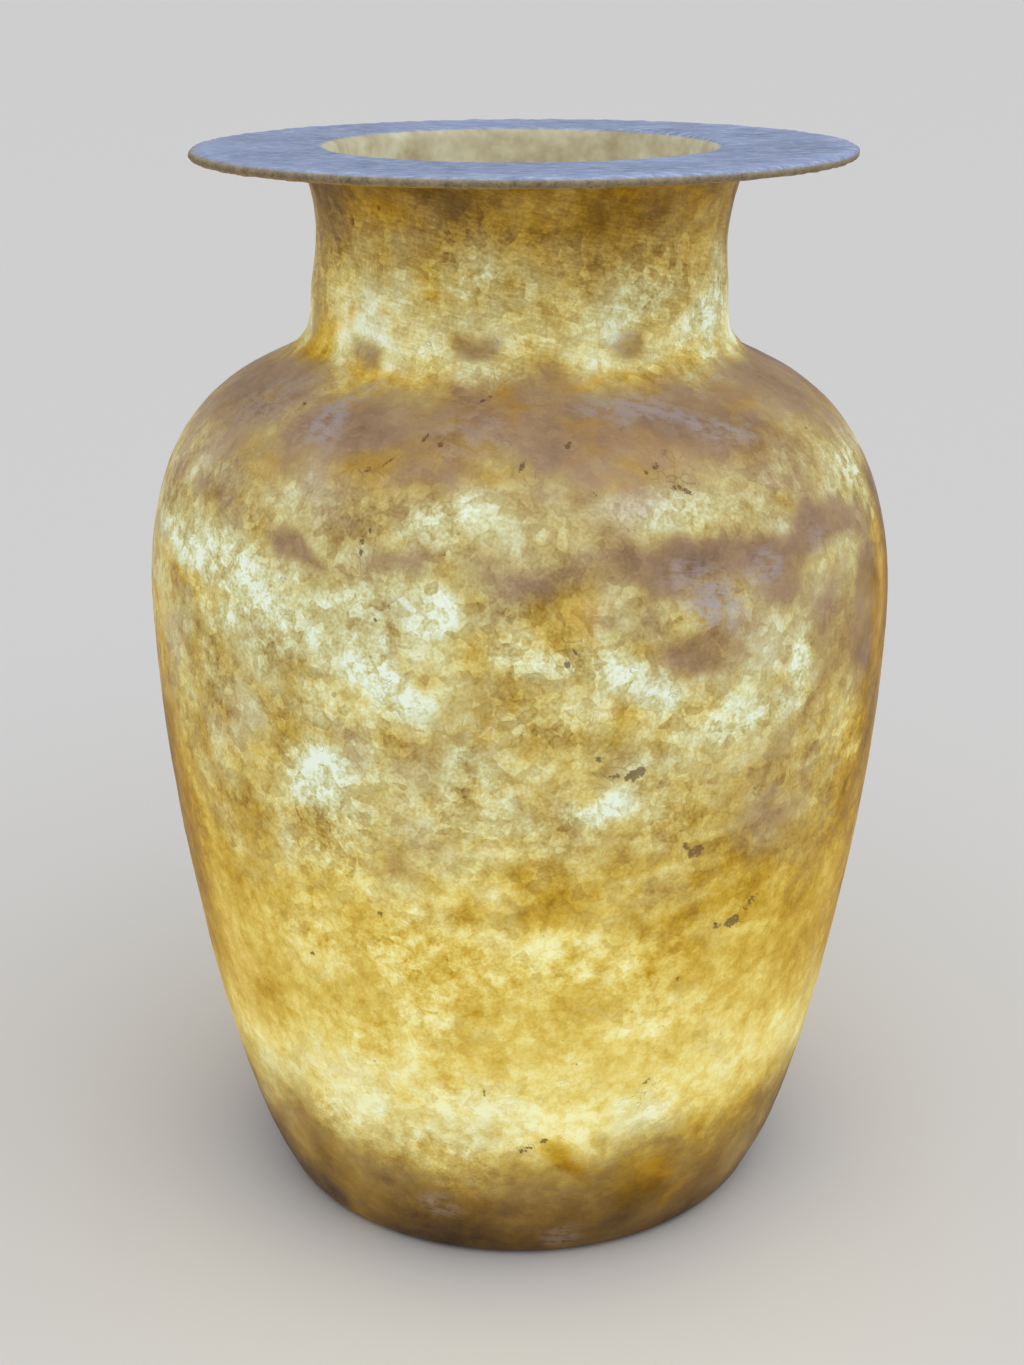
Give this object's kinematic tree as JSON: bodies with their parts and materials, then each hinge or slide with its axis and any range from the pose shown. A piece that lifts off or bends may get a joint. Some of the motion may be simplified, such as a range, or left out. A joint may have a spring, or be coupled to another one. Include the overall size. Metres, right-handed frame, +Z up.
{
  "type": "alabaster vase",
  "caption": "Hollow carved alabaster vase with a high round shoulder, a short wide neck and a thin flat disc rim.",
  "frame": {"origin": "centre of the flat underside of the foot", "axes": "+Z up along the axis of the vase, out of its mouth; the vase is round, so X and Y are free"},
  "size_m": [0.2084, 0.2084, 0.3],
  "materials": {
    "alabaster": "hand-smoothed translucent alabaster with cloudy bands, amber stains, fine crackle and small pits"
  },
  "bodies": {
    "root": {"vase": "alabaster"}
  },
  "joints": []
}
